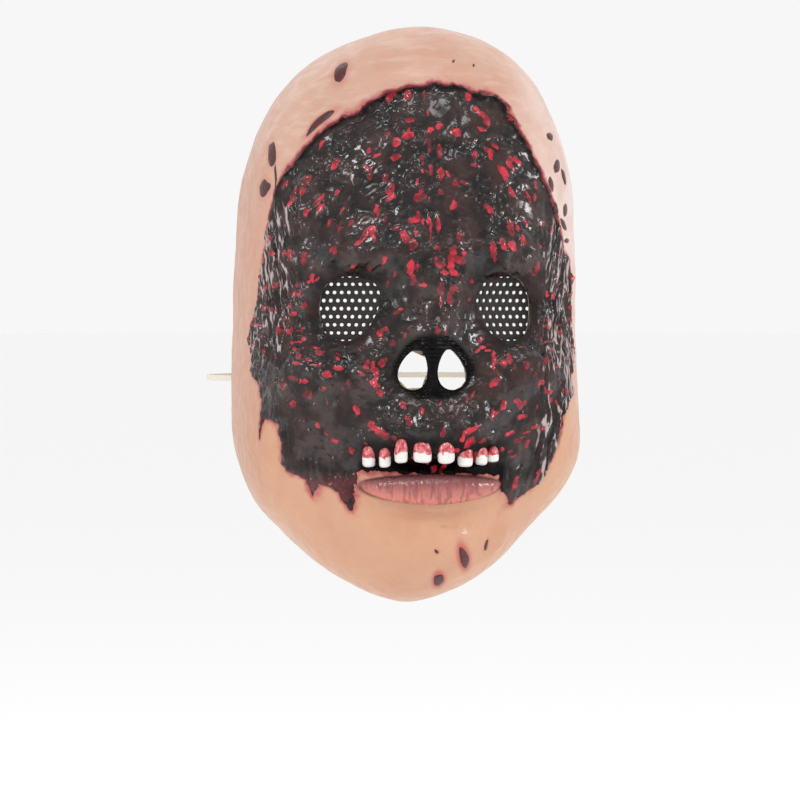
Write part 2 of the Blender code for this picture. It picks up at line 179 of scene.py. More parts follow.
# Blood and burnt spots on the skin, in the photograph's pixels; turn is in degrees clockwise
BLOOD_SPOTS = (
    # across, down, wide, tall, turn, halo
    (341, 72, 12, 20, 22, 0.4),
    (320, 121, 7, 34, 48, 0.5),
    (272, 154, 7, 21, 0, 0.3),
    (275, 176, 2, 24, -6, 0.0),
    (264, 189, 9, 16, 8, 0.3),
    (550, 137, 5, 9, -25, 0.0),
    (557, 166, 6, 13, 0, 0.0),
    (551, 184, 5, 15, -12, 0.0),
    (564, 177, 2, 16, -12, 0.0),
    (555, 208, 4, 14, -12, 0.0),
    (565, 210, 4, 13, 0, 0.0),
    (563, 224, 4, 13, -22, 0.0),
    (567, 241, 4, 5, 0, 0.0),
    (439, 580, 9, 12, 15, 1.0),
    (464, 558, 9, 20, -10, 1.0),
    (487, 546, 4, 11, 15, 0.5),
    (437, 552, 5, 3, 35, 0.3),
    (454, 61, 2, 4, 30, 0.0),
    (474, 65, 2, 3, 0, 0.0),
)

# Folds in the skin: points in the photograph's pixels, then width and depth in metres
FOLDS = (
    (((502, 494), (499, 512), (493, 530), (489, 552)), 0.0024, -0.0011),
    (((512, 504), (508, 522), (500, 545)), 0.0022, 0.0008),
    (((442, 529), (456, 530), (468, 538)), 0.0011, 0.0005),
    (((360, 505), (380, 512), (402, 520)), 0.0030, 0.0005),
    (((352, 545), (372, 558), (402, 563)), 0.0024, -0.0004),
    (((330, 75), (400, 66), (470, 72), (520, 105)), 0.0030, 0.0004),
    (((345, 92), (400, 80), (450, 76), (490, 84)), 0.0028, -0.0005),
    (((262, 150), (285, 112), (325, 80)), 0.0030, 0.0004),
)


# Shape of the face


def cubic_through(at, knots, values):
    """Smooth curve through a table's rows, with the knots in rising order."""
    slopes = np.gradient(values, knots)
    row = np.clip(np.searchsorted(knots, at) - 1, 0, len(knots) - 2)
    span = knots[row + 1] - knots[row]
    t = (at - knots[row]) / span
    return (
        values[row] * (1 + 2 * t) * (1 - t) ** 2
        + slopes[row] * span * t * (1 - t) ** 2
        + values[row + 1] * t * t * (3 - 2 * t)
        + slopes[row + 1] * span * t * t * (t - 1)
    )


def outline_radius(angle):
    """Distance from the face's middle to its outline, at an angle above the sideways axis."""
    rows = np.array(OUTLINE)
    side = rows[:, 0] * HALF_WIDTH
    up = rows[:, 1] * np.where(rows[:, 1] < 0, CHIN_DROP, CROWN_RISE)
    knots = np.arctan2(up, side)
    radii = np.hypot(side, up)
    knots = np.concatenate([[-math.pi - knots[1]], knots, [math.pi - knots[-2]]])
    radii = np.concatenate([[radii[1]], radii, [radii[-2]]])
    folded = np.arctan2(np.sin(angle), np.abs(np.cos(angle)))
    return cubic_through(folded, knots, radii)


def section_at(angle):
    """Depth and roundness of the face's section in one direction from its middle."""
    share = np.sin(angle) ** 2
    upper = np.sin(angle) > 0
    depth = SIDE_DEPTH * (1 - share) + np.where(upper, CROWN_DEPTH, CHIN_DEPTH) * share
    roundness = SIDE_ROUNDNESS * (1 - share) + np.where(upper, CROWN_ROUNDNESS, CHIN_ROUNDNESS) * share
    return depth, roundness


def swell(x, z, side, height, wide, tall, rise):
    """How far a swelling stands forward; it is repeated on both sides unless it is central."""
    total = np.zeros(np.shape(x))
    for centre in {side, -side}:
        total = total + rise * np.exp(-((x - centre) ** 2) / wide**2 - (z - height) ** 2 / tall**2)
    return total


def relief(x, z):
    """How far the face stands in front of its plain shell."""
    total = np.zeros(np.shape(x))
    for _form, side, height, wide, tall, rise in SWELLINGS:
        total = total + swell(
            x - MIDLINE,
            z,
            side * HALF_WIDTH,
            height * CROWN_RISE,
            wide * HALF_WIDTH,
            tall * CROWN_RISE,
            rise * RELIEF,
        )
    wide, tall = SOCKET_SPREAD * EYE_WIDTH, SOCKET_SPREAD * EYE_TALL
    return total + swell(x, z, EYE_OFFSET, 0.0, wide, tall, SOCKET_RISE * RELIEF)


def lean(up):
    """How far the face stands sideways at a height above its middle."""
    low = np.clip((-up / CHIN_DROP - CHIN_LEAN_FROM) / CHIN_LEAN_SPAN, 0.0, 1.0)
    high = np.clip((up / CROWN_RISE - CROWN_LEAN_FROM) / (1 - CROWN_LEAN_FROM), 0.0, 1.0)
    return CROWN_LEAN * high**2 - CHIN_LEAN * low * low * (3 - 2 * low)


def front_y(x, z):
    """Y of the face's outer surface at a point seen from the front, inside its outline."""
    up = z - MIDDLE_HEIGHT
    across = x - lean(up)
    angle = np.arctan2(up, across)
    depth, roundness = section_at(angle)
    share = np.minimum(np.hypot(across, up) / outline_radius(angle), 1.0)
    turned = (1 - share**roundness) ** (1 / roundness)
    return -FRONT_DEPTH + depth * (1 - turned) - relief(x, z)


def face_point(u, v):
    """Outer surface at a place in the square from -1 to 1, whose edge is the mask's rim."""
    across = u * np.sqrt(1 - v * v / 2)
    along = v * np.sqrt(1 - u * u / 2)
    reach = np.hypot(across, along)
    angle = np.arctan2(along, across)
    depth, roundness = section_at(angle)
    turn = np.minimum(reach / LIMB_SHARE, 1.0) * math.pi / 2
    skirt = np.maximum(reach - LIMB_SHARE, 0.0) / (1 - LIMB_SHARE) * RIM_SKIRT
    radius = outline_radius(angle) * np.sin(turn) ** (2 / roundness)
    up = radius * np.sin(angle)
    x = radius * np.cos(angle) + lean(up)
    z = MIDDLE_HEIGHT + up
    level = np.maximum(np.cos(turn), 0.0) ** (2 / roundness)
    y = -FRONT_DEPTH + depth * (1 - level) + skirt - relief(x, z)
    return np.stack([x, y, z], axis=-1)


def measured_axis(vertical):
    """Lengths along the surface, from the middle to the rim both ways, and the square's places there."""
    t = np.linspace(-1.0, 1.0, 1601)
    zero = np.zeros_like(t)
    line = face_point(zero, t) if vertical else face_point(t, zero)
    steps = np.linalg.norm(np.diff(line, axis=0), axis=1)
    lengths = np.concatenate([[0.0], np.cumsum(steps)])
    return lengths - lengths[len(t) // 2], t


ACROSS_LENGTHS, ACROSS_PLACES = measured_axis(vertical=False)
UP_LENGTHS, UP_PLACES = measured_axis(vertical=True)
RIM_CORNERS = [(ACROSS_LENGTHS[end], UP_LENGTHS[end]) for end in (0, -1)]


def spread_point(a, b):
    """Outer surface at a place given as lengths along it, sideways and upwards from its middle."""
    return face_point(
        np.interp(a, ACROSS_LENGTHS, ACROSS_PLACES), np.interp(b, UP_LENGTHS, UP_PLACES)
    )


# Camera


def camera_axes():
    back = Vector(
        (
            math.sin(CAMERA_AZIMUTH) * math.cos(CAMERA_ELEVATION),
            -math.cos(CAMERA_AZIMUTH) * math.cos(CAMERA_ELEVATION),
            math.sin(CAMERA_ELEVATION),
        )
    )
    right = Vector((0, 0, 1)).cross(back).normalized()
    return right, back.cross(right), back


def make_camera():
    back = camera_axes()[2]
    data = bpy.data.cameras.new("camera")
    data.sensor_width = SENSOR
    data.lens = SENSOR * RIM_PIXELS_PER_METRE * CAMERA_AWAY / PHOTO_WIDTH
    data.clip_end = 100.0
    camera = bpy.data.objects.new("camera", data)
    bpy.context.scene.collection.objects.link(camera)
    camera.location = AIM + back * CAMERA_AWAY
    camera.rotation_mode = "QUATERNION"
    camera.rotation_quaternion = back.to_track_quat("Z", "Y")
    bpy.context.scene.camera = camera


def to_photo(points):
    """Where points fall in the photograph, in its pixels."""
    right, up, back = (np.array(axis) for axis in camera_axes())
    away = points - np.array(AIM) - back * CAMERA_AWAY
    depth = -(away @ back)
    focal = RIM_PIXELS_PER_METRE * CAMERA_AWAY
    middle = PHOTO_WIDTH / 2
    return np.stack(
        [middle + focal * (away @ right) / depth, middle - focal * (away @ up) / depth], axis=-1
    )


def build_photo_lookup():
    """Many places on the surface that face the camera, with their pixels."""
    a = np.linspace(ACROSS_LENGTHS[0], ACROSS_LENGTHS[-1], 600)
    b = np.linspace(UP_LENGTHS[0], UP_LENGTHS[-1], 640)
    grid_a, grid_b = np.meshgrid(a, b, indexing="ij")
    points = spread_point(grid_a, grid_b)
    normal = np.cross(np.gradient(points, axis=0), np.gradient(points, axis=1))
    seen = (normal @ np.array(camera_axes()[2])) > 0
    return grid_a[seen], grid_b[seen], to_photo(points[seen])


LOOKUP_A, LOOKUP_B, LOOKUP_PIXELS = build_photo_lookup()


def spread_at_pixel(pixel):
    """The place on the surface, as lengths along it, that the photograph shows at a pixel."""
    nearest = np.argmin(((LOOKUP_PIXELS - np.array(pixel)) ** 2).sum(axis=1))
    return np.array([LOOKUP_A[nearest], LOOKUP_B[nearest]])


def surface_frame(a, b):
    """Points of the surface at places given as lengths along it, and the directions square to it."""
    step = 0.0002
    across = spread_point(a + step, b) - spread_point(a - step, b)
    upward = spread_point(a, b + step) - spread_point(a, b - step)
    normal = np.cross(across, upward)
    return spread_point(a, b), normal / np.linalg.norm(normal, axis=-1, keepdims=True)


def spot_axes(spot):
    """A spot's middle on the surface, and its half width and half height as steps along it."""
    across, down, wide, tall, turn, _halo = spot
    c, s = math.cos(math.radians(turn)), math.sin(math.radians(turn))
    ends = [(c * wide / 2, s * wide / 2), (s * tall / 2, -c * tall / 2)]
    axes = []
    for x, y in ends:
        # The lookup is stepped, so a short axis is measured over a longer run and scaled back
        longer = max(1.0, 6.0 / math.hypot(x, y))
        far = spread_at_pixel((across + x * longer, down + y * longer))
        near = spread_at_pixel((across - x * longer, down - y * longer))
        axes.append((far - near) / 2 / longer)
    return spread_at_pixel((across, down)), np.array(axes)


# Outlines and noise


def smooth_step(low, high, value):
    t = np.clip((value - low) / (high - low), 0.0, 1.0)
    return t * t * (3 - 2 * t)


def sides_of(outline):
    """Start and end of each side of a closed outline."""
    return zip(outline, np.roll(outline, -1, axis=0))


def gap_to_run(points, start, end):
    """Distance from points to the straight run between two others."""
    run = end - start
    t = np.clip(((points - start) @ run) / max(run @ run, 1e-18), 0.0, 1.0)
    return np.linalg.norm(points - start - t[:, None] * run, axis=1)


def inside_outline(points, outline):
    """Whether points lie in a closed outline, both in a plane."""
    inside = np.zeros(len(points), dtype=bool)
    x, y = points[:, 0], points[:, 1]
    for (x1, y1), (x2, y2) in sides_of(outline):
        crosses = (y1 > y) != (y2 > y)
        if y1 != y2:
            inside ^= crosses & (x < (x2 - x1) * (y - y1) / (y2 - y1) + x1)
    return inside


def depth_inside(points, outline):
    """Distance from a closed outline in its plane: more than 0 inside it, less than 0 outside."""
    nearest = np.full(len(points), np.inf)
    for start, end in sides_of(outline):
        nearest = np.minimum(nearest, gap_to_run(points, start, end))
    return np.where(inside_outline(points, outline), nearest, -nearest)


def rough(points, size, octaves=1, seed=0):
    """Smooth noise from about -1 to 1, whose bumps are about as wide as size."""
    scaled = points / size + np.array([7.1, 3.3, 5.7]) * seed
    if octaves == 1:
        return np.array([noise.noise(point) for point in scaled])
    return np.array([noise.fractal(point, 1.0, 2.0, octaves) for point in scaled])


def cells(points, size, seed=0):
    """Distance to the nearest of many scattered points, as a share of their spacing."""
    scaled = points / size + np.array([2.7, 9.2, 4.4]) * seed
    return np.array([noise.voronoi(point)[0][0] for point in scaled])


WOUND_SPREAD = np.array([spread_at_pixel(pixel) for pixel in WOUND_OUTLINE])
SPOT_AXES = [spot_axes(spot) for spot in BLOOD_SPOTS]


def depth_in_wound(spread, points):
    """Distance from the wound's edge along the surface, made ragged."""
    ragged = 0.0011 * rough(points, 0.0042, 2, seed=3) + 0.0006 * rough(points, 0.0015, 1, seed=4)
    return depth_inside(spread, WOUND_SPREAD) + ragged


# Mesh helpers


def sheet(cell, low, high):
    """A flat grid between two corners, in lengths along the surface."""
    bm = bmesh.new()
    size = np.array(high) - np.array(low)
    columns, rows = (int(round(length / cell)) for length in size)
    bmesh.ops.create_grid(bm, x_segments=columns, y_segments=rows, size=1.0)
    bmesh.ops.scale(bm, vec=(size[0] / 2, size[1] / 2, 1.0), verts=bm.verts)
    middle = (np.array(high) + np.array(low)) / 2
    bmesh.ops.translate(bm, vec=(middle[0], middle[1], 0.0), verts=bm.verts)
    return bm


def places(bm):
    return np.array([vert.co for vert in bm.verts])


def put(bm, points):
    for vert, point in zip(bm.verts, points):
        vert.co = point


def directions(bm):
    bm.normal_update()
    return np.array([vert.normal for vert in bm.verts])


def refine(bm, wanted):
    """Cuts each face in four whose middle is wanted."""
    middles = np.array([face.calc_center_median() for face in bm.faces])
    chosen = wanted(middles[:, :2])
    edges = {edge for face, take in zip(bm.faces, chosen) if take for edge in face.edges}
    bmesh.ops.subdivide_edges(bm, edges=list(edges), cuts=1, use_grid_fill=True)


def bend(bm):
    """Takes a flat sheet to the face."""
    put(bm, spread_point(*places(bm)[:, :2].T))


def carve_hole(bm, outline):
    """Takes out the faces in an outline seen from the front, and draws the edge onto it."""
    flat = places(bm)[:, (0, 2)]
    inside = inside_outline(flat, outline) & (places(bm)[:, 1] < -FRONT_DEPTH / 2)
    marked = {vert for vert, take in zip(bm.verts, inside) if take}
    gone = [face for face in bm.faces if all(vert in marked for vert in face.verts)]
    bmesh.ops.delete(bm, geom=gone, context="FACES")
    fine = []
    for start, end in sides_of(outline):
        fine += [start + (end - start) * t for t in np.linspace(0, 1, 12, endpoint=False)]
    fine = np.array(fine)
    for vert in marked:
        if vert.is_valid:
            here = np.array((vert.co.x, vert.co.z))
            x, z = fine[np.argmin(((fine - here) ** 2).sum(axis=1))]
            vert.co = (x, float(front_y(x, z)), z)


def eye_outline(side, grow=0.0):
    """Outline of an eye hole seen from the front, made larger by grow all round."""
    rows = np.array(EYE_OUTLINE) * (EYE_WIDTH + 2 * grow, EYE_TALL + 2 * grow)
    closed = np.concatenate([rows[-2:], rows, rows[:3]])
    knots = np.arange(-2, len(rows) + 3, dtype=float)
    at = np.linspace(0.0, len(rows), 48, endpoint=False)
    across, up = (cubic_through(at, knots, closed[:, axis]) for axis in (0, 1))
    return np.stack([side * (across + EYE_OFFSET), up], axis=1)


def nostril_outline(side, grow=0.0):
    """Outline of a nostril hole, a pear with its narrow end up."""
    turn = np.linspace(0.0, 2 * math.pi, 40, endpoint=False)
    x = np.cos(turn) * (1 - 0.3 * np.sin(turn)) * (NOSTRIL_WIDTH / 2 + grow)
    z = np.sin(turn) * (NOSTRIL_TALL / 2 + grow)
    tilt = side * NOSTRIL_TILT
    return np.stack(
        [
            MIDLINE + side * NOSTRIL_OFFSET + x * math.cos(tilt) - z * math.sin(tilt),
            NOSTRIL_HEIGHT + x * math.sin(tilt) + z * math.cos(tilt),
        ],
        axis=1,
    )


def hole_outlines(grow=0.0):
    return [make(side, grow) for make in (eye_outline, nostril_outline) for side in (-1, 1)]


def lay_on_face(bm, grow=0.0):
    """Bends a flat sheet onto the face and cuts its holes; returns its points and their lengths along it."""
    along = [bm.verts.layers.float.new(name) for name in ("a", "b")]
    for vert in bm.verts:
        for layer, length in zip(along, vert.co):
            vert[layer] = length
    bend(bm)
    for outline in hole_outlines(grow):
        carve_hole(bm, outline)
    return places(bm), np.array([[vert[layer] for layer in along] for vert in bm.verts])


def finish_piece(bm, name, material, attributes=None):
    """Makes a smooth mesh object of a bmesh, with one number for each vertex in each attribute."""
    mesh = bpy.data.meshes.new(name)
    bm.to_mesh(mesh)
    bm.free()
    for label, values in (attributes or {}).items():
        layer = mesh.attributes.new(label, "FLOAT", "POINT")
        layer.data.foreach_set("value", np.asarray(values, dtype=np.float32))
    mesh.shade_smooth()
    mesh.materials.append(material)
    piece = bpy.data.objects.new(name, mesh)
    bpy.context.scene.collection.objects.link(piece)
    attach(piece, "root")
    return piece


def boundary_loops(bm):
    """The open edges of a mesh, as one list for each loop."""
    left = {edge for edge in bm.edges if edge.is_boundary}
    loops = []
    while left:
        stack = [left.pop()]
        loop = []
        while stack:
            edge = stack.pop()
            loop.append(edge)
            for vert in edge.verts:
                for other in vert.link_edges:
                    if other in left:
                        left.remove(other)
                        stack.append(other)
        loops.append(loop)
    return loops


# Materials


def colour(code):
    """Linear colour of an sRGB hex code."""
    parts = [int(code[place : place + 2], 16) / 255 for place in (1, 3, 5)]
    linear = [c / 12.92 if c <= 0.04045 else ((c + 0.055) / 1.055) ** 2.4 for c in parts]
    return (*linear, 1.0)


def node(tree, kind, links=None, **settings):
    """Adds a node; links gives an input a socket or a value, and settings its own options."""
    made = tree.nodes.new(kind)
    for name, value in settings.items():
        setattr(made, name, value)
    for key, value in (links or {}).items():
        if isinstance(value, bpy.types.NodeSocket):
            tree.links.new(value, made.inputs[key])
        else:
            made.inputs[key].default_value = value
    return made


def new_material(name):
    material = bpy.data.materials.new(name)
    material.use_nodes = True
    tree = material.node_tree
    return material, tree, tree.nodes["Principled BSDF"]


def attribute(tree, name):
    return node(tree, "ShaderNodeAttribute", attribute_name=name).outputs["Fac"]


def object_place(tree):
    return node(tree, "ShaderNodeTexCoord").outputs["Object"]


def blend(tree, factor, first, second):
    """Mixes two colours, each a socket or a hex code."""
    first, second = (colour(paint) if isinstance(paint, str) else paint for paint in (first, second))
    return node(tree, "ShaderNodeMix", {0: factor, 6: first, 7: second}, data_type="RGBA").outputs[2]


def spread_range(tree, value, low, high, to_low=0.0, to_high=1.0):
    return node(
        tree,
        "ShaderNodeMapRange",
        {"Value": value, "From Min": low, "From Max": high, "To Min": to_low, "To Max": to_high},
        interpolation_type="SMOOTHSTEP",
    ).outputs["Result"]


def speckle(tree, place, size, detail=2.0):
    """Noise whose grains are about as wide as size, in metres."""
    return node(
        tree, "ShaderNodeTexNoise", {"Vector": place, "Scale": 1 / size, "Detail": detail}
    ).outputs["Fac"]


def maths(tree, first, second, operation="MULTIPLY"):
    """Two numbers or sockets multiplied, or put together as the operation says."""
    return node(tree, "ShaderNodeMath", {0: first, 1: second}, operation=operation).outputs[0]


def raise_surface(tree, shader, heights):
    """Bump from several heights, each with its depth in metres."""
    last = None
    for height, depth in heights:
        links = {"Height": height, "Distance": depth, "Strength": 1.0}
        if last is not None:
            links["Normal"] = last
        last = node(tree, "ShaderNodeBump", links).outputs["Normal"]
    tree.links.new(last, shader.inputs["Normal"])


def painted_latex():
    """Cast latex with airbrushed rubber paint: satin, a little waxy, uneven where the spray overlaps, with a
    painted highlight at the upper right and painted shade at the left edge and under the lip.
    """
    material, tree, shader = new_material("airbrushed_cast_latex")
    place = object_place(tree)
    height = node(tree, "ShaderNodeSeparateXYZ", {"Vector": place}).outputs
    right = spread_range(tree, height["X"], 0.030, 0.066)
    upper = spread_range(tree, height["Z"], -0.05, 0.04)
    left = spread_range(tree, height["X"], -0.060, -0.073)
    mottle = spread_range(tree, speckle(tree, place, 0.016, 3.0), 0.4, 0.7)
    strokes = node(tree, "ShaderNodeMapping", {"Vector": place, "Scale": (0.22, 0.5, 1.0)}).outputs[0]
    stroke = speckle(tree, strokes, 0.0034, 3.0)
    forehead = spread_range(tree, height["Z"], 0.04, 0.075)
    burn = attribute(tree, "burn")
    patchy = speckle(tree, place, 0.006, 2.0)
    blush = maths(tree, burn, maths(tree, patchy, 0.5), "ADD")
    deep = maths(tree, burn, maths(tree, patchy, 0.7), "ADD")
    streaks = node(tree, "ShaderNodeMapping", {"Vector": place, "Scale": (1.0, 0.25, 0.2)}).outputs[0]
    streak = spread_range(tree, speckle(tree, streaks, 0.0016, 2.0), 0.48, 0.62)
    lip = blend(tree, attribute(tree, "lip_down"), "#63393D", "#CC786B")
    lip = blend(tree, maths(tree, streak, 0.5), lip, "#6B363C")
    stain = spread_range(tree, speckle(tree, place, 0.02, 4.0), 0.4, 0.65)
    skin = blend(tree, spread_range(tree, height["Z"], -0.06, 0.08), "#C29375", "#BE9784")
    for share, paint in (
        # Painted light: the upper right is painted paler, a painted highlight partly on the paint's own
        # paler tone, and the far left edge darker as painted shade.
        (maths(tree, right, upper), "#D3BEB6"),
        (maths(tree, left, 0.6), "#B07F68"),
        (maths(tree, mottle, 0.4), "#B98269"),
        (maths(tree, maths(tree, forehead, 0.32), spread_range(tree, stroke, 0.46, 0.70)), "#D3B5A8"),
        (spread_range(tree, blush, 0.36, 0.95), "#A9524E"),
        (spread_range(tree, deep, 0.98, 1.18), "#6B1820"),
        (attribute(tree, "halo"), "#B04A42"),
        (attribute(tree, "lip"), lip),
        # Painted shade in the crease under the lip.
        (attribute(tree, "shaded_lip_crease"), "#5A2426"),
        (attribute(tree, "charred"), "#140D0C"),
        (attribute(tree, "raw"), blend(tree, stain, "#C9B39B", "#B89E82")),
    ):
        skin = blend(tree, share, skin, paint)
    tree.links.new(skin, shader.inputs["Base Color"])
    satin = spread_range(tree, speckle(tree, place, 0.005, 3.0), 0.3, 0.7, 0.30, 0.44)
    lip_gloss = maths(tree, attribute(tree, "lip"), 0.14)
    tree.links.new(maths(tree, satin, lip_gloss, "SUBTRACT"), shader.inputs["Roughness"])
    shader.inputs["IOR"].default_value = 1.5
    shader.inputs["Subsurface Weight"].default_value = 0.10
    shader.inputs["Subsurface Radius"].default_value = (0.004, 0.002, 0.001)
    shader.inputs["Subsurface Scale"].default_value = 1.0
    pores = speckle(tree, place, 0.0011, 2.0)
    raise_surface(
        tree,
        shader,
        [(speckle(tree, place, 0.0045, 3.0), 0.0005), (stroke, 0.0002), (pores, 0.00010)],
    )
    return material


def charred_latex():
    """Latex built up as burnt flesh under wet-look black varnish, flecked with blood red, with painted shade
    in its hollows and painted highlights on its strands.
    """
    material, tree, shader = new_material("wet_look_charred_latex")
    place = object_place(tree)
    ash = spread_range(tree, speckle(tree, place, 0.012, 4.0), 0.40, 0.62)
    base = blend(tree, ash, "#1C100F", "#33201D")
    base = blend(tree, attribute(tree, "ember"), base, "#4E1C20")
    # Painted shade: the crust is painted near-black where its surface lies low, in its crevices.
    crevice_shade = spread_range(tree, attribute(tree, "height"), 0.0, -0.8)
    base = blend(tree, crevice_shade, base, "#080404")
    # Near-black from the rim attribute: paint along the upper edge, in the mouth groove and round the teeth,
    # and painted shade in the nasal hollow and the eye sockets.
    base = blend(tree, attribute(tree, "rim"), base, "#050303")
    # Pale paint on the ridge tops of the side strands: partly dry-brushed paint, partly a painted highlight.
    threads = node(tree, "ShaderNodeMapping", {"Vector": place, "Scale": (1.0, 0.3, 0.16)}).outputs[0]
    broken = maths(tree, speckle(tree, threads, 0.0012, 3.0), 0.9)
    drybrush_and_highlight = maths(tree, attribute(tree, "strand"), broken, "ADD")
    base = blend(tree, spread_range(tree, drybrush_and_highlight, 1.14, 1.40), base, "#A89796")
    grit = speckle(tree, place, 0.0011, 2.0)
    edge = maths(tree, attribute(tree, "fleck"), maths(tree, grit, 0.7), "ADD")
    shade = spread_range(tree, speckle(tree, place, 0.004, 2.0), 0.40, 0.62)
    red = blend(tree, shade, "#7E1522", "#BC2B3C")
    opaque = spread_range(tree, speckle(tree, place, 0.007, 1.0), 0.36, 0.56, 0.35, 1.0)
    fleck = maths(tree, spread_range(tree, edge, 0.72, 0.92), opaque)
    base = blend(tree, fleck, base, red)
    tree.links.new(base, shader.inputs["Base Color"])
    wet = speckle(tree, place, 0.010, 3.0)
    rim = attribute(tree, "rim")
    satin = spread_range(tree, wet, 0.38, 0.62, 0.24, 0.50)
    tree.links.new(maths(tree, satin, maths(tree, rim, 0.10), "SUBTRACT"), shader.inputs["Roughness"])
    shader.inputs["IOR"].default_value = 1.33
    coat = spread_range(tree, wet, 0.58, 0.42, 0.10, 0.60)
    bare = maths(tree, 1.0, rim, "SUBTRACT")
    tree.links.new(spread_range(tree, rim, 0.0, 1.0, 0.5, 0.2), shader.inputs["Specular IOR Level"])
    tree.links.new(maths(tree, coat, bare), shader.inputs["Coat Weight"])
    shader.inputs["Coat Roughness"].default_value = 0.10
    raise_surface(
        tree,
        shader,
        [(speckle(tree, place, 0.0028, 2.0), 0.0006), (speckle(tree, place, 0.0010, 2.0), 0.00009)],
    )
    return material


def painted_teeth():
    """White gloss paint on latex teeth, with blood-red glaze down from the gum."""
    material, tree, shader = new_material("gloss_painted_teeth")
    place = object_place(tree)
    wander = maths(tree, speckle(tree, place, 0.0034, 2.0), 0.45)
    up = maths(tree, attribute(tree, "tooth_up"), wander, "ADD")
    gum = blend(tree, spread_range(tree, speckle(tree, place, 0.0018, 2.0), 0.4, 0.6), "#A8323D", "#CC7173")
    white = blend(tree, spread_range(tree, up, 0.62, 0.67), "#D9D5D1", gum)
    tree.links.new(white, shader.inputs["Base Color"])
    shader.inputs["Roughness"].default_value = 0.28
    shader.inputs["Coat Weight"].default_value = 0.3
    raise_surface(tree, shader, [(speckle(tree, place, 0.0015, 2.0), 0.0002)])
    return material


def dried_blood():
    """Thick dark red paint, dried matt with a glossy middle, brushed on as wounds and drops."""
    material, tree, shader = new_material("dried_blood_paint")
    place = object_place(tree)
    dark = blend(tree, speckle(tree, place, 0.003, 2.0), "#260A0B", "#5C1A1F")
    tree.links.new(dark, shader.inputs["Base Color"])
    shader.inputs["Roughness"].default_value = 0.38
    raise_surface(tree, shader, [(speckle(tree, place, 0.0014, 2.0), 0.0003)])
    return material


def perforated_mesh():
    """Thin dark brown fabric mesh with a plain matt face; the light shows through its holes."""
    material, tree, shader = new_material("perforated_eye_mesh")
    place = object_place(tree)
    weave = speckle(tree, place, 0.0004, 2.0)
    dark = blend(tree, weave, "#191311", "#2C2320")
    tree.links.new(dark, shader.inputs["Base Color"])
    shader.inputs["Roughness"].default_value = 0.75
    shader.inputs["Sheen Weight"].default_value = 0.15
    raise_surface(tree, shader, [(weave, 0.00006)])
    return material


def raw_latex():
    """Unpainted latex: cream, slightly sticky and satin, as poured."""
    material, tree, shader = new_material("raw_latex")
    place = object_place(tree)
    stain = blend(tree, speckle(tree, place, 0.006, 3.0), "#DCC7AE", "#C8AD8E")
    tree.links.new(stain, shader.inputs["Base Color"])
    shader.inputs["Roughness"].default_value = 0.45
    raise_surface(tree, shader, [(speckle(tree, place, 0.002, 3.0), 0.0002)])
    return material


def woven_elastic():
    """Cream woven elastic: soft ribs 0.4 mm apart along its length, and a faint nap."""
    material, tree, shader = new_material("woven_elastic")
    place = object_place(tree)
    ribs = node(
        tree,
        "ShaderNodeTexWave",
        {"Vector": place, "Scale": math.pi / 10 / 0.0004, "Distortion": 0.4},
        bands_direction="Z",
    ).outputs["Fac"]
    cream = blend(tree, ribs, "#CFC4B4", "#EFE8DC")
    tree.links.new(cream, shader.inputs["Base Color"])
    shader.inputs["Roughness"].default_value = 0.8
    shader.inputs["Sheen Weight"].default_value = 0.3
    raise_surface(tree, shader, [(ribs, 0.0001), (speckle(tree, place, 0.0003, 2.0), 0.00005)])
    return material


# Pieces


def smoothed_fibres(points, spread):
    """Long wavy strands that run down the face, from about -1 to 1."""
    sway = 0.0014 * rough(points, 0.011, 2, seed=11)
    strand = np.stack([spread[:, 0] + sway, spread[:, 1] * 0.10, np.zeros(len(points))], axis=1)
    return 1 - 2 * np.abs(rough(strand, 0.0027, 2, seed=12))


def side_share(pixels):
    """Where the sides of the wound hang in strands, from the photograph's columns and rows."""
    left = smooth_step(312, 285, pixels[:, 0]) * smooth_step(170, 215, pixels[:, 1])
    right = smooth_step(528, 548, pixels[:, 0]) * smooth_step(190, 235, pixels[:, 1])
    return np.clip(left * smooth_step(420, 340, pixels[:, 1]) + right, 0.0, 1.0)


def melt_share(pixels):
    """Where the lower edge has run and dripped."""
    low = smooth_step(380, 450, pixels[:, 1])
    return low * np.clip(smooth_step(355, 320, pixels[:, 0]) + smooth_step(490, 515, pixels[:, 0]), 0, 1)


def scatter_flecks(spread, pixels):
    """How red each place is, from flecks scattered more densely over the forehead and cheeks."""
    rng = np.random.default_rng(41)
    low, high = WOUND_SPREAD.min(axis=0), WOUND_SPREAD.max(axis=0)
    red = np.zeros(len(spread))
    centres = rng.uniform(low, high, (820, 2))
    sizes = 0.0010 + 0.0013 * rng.uniform(0.0, 1.0, len(centres)) ** 1.4
    squash = rng.uniform(0.7, 1.7, len(centres))
    chance = rng.uniform(0.0, 1.0, len(centres))
    wander = [rough(np.c_[spread, np.zeros(len(spread))], 0.0016, 2, seed=seed) for seed in (31, 32)]
    spread = spread + 0.0007 * np.stack(wander, axis=1)
    order = np.argsort(spread[:, 0])
    ordered = spread[order, 0]
    for centre, size, flat, luck in zip(centres, sizes, squash, chance):
        start, end = np.searchsorted(ordered, (centre[0] - 0.004, centre[0] + 0.004))
        near = order[start:end]
        gap = spread[near] - centre
        far = np.hypot(gap[:, 0] * flat, gap[:, 1] / flat)
        close = far < 2 * size
        if not close.any():
            continue
        near, far = near[close], far[close]
        column, row = pixels[near[np.argmin(far)]]
        density = 0.85 - 0.55 * smooth_step(385, 430, row) * smooth_step(400, 340, column)
        density -= 0.35 * smooth_step(530, 550, column) + 0.35 * smooth_step(300, 280, column)
        density -= 0.45 * smooth_step(130, 105, row) + 0.6 * smooth_step(455, 465, row)
        if luck > density:
            continue
        red[near] = np.maximum(red[near], 1 - smooth_step(0.5 * size, 1.3 * size, far))
    return red


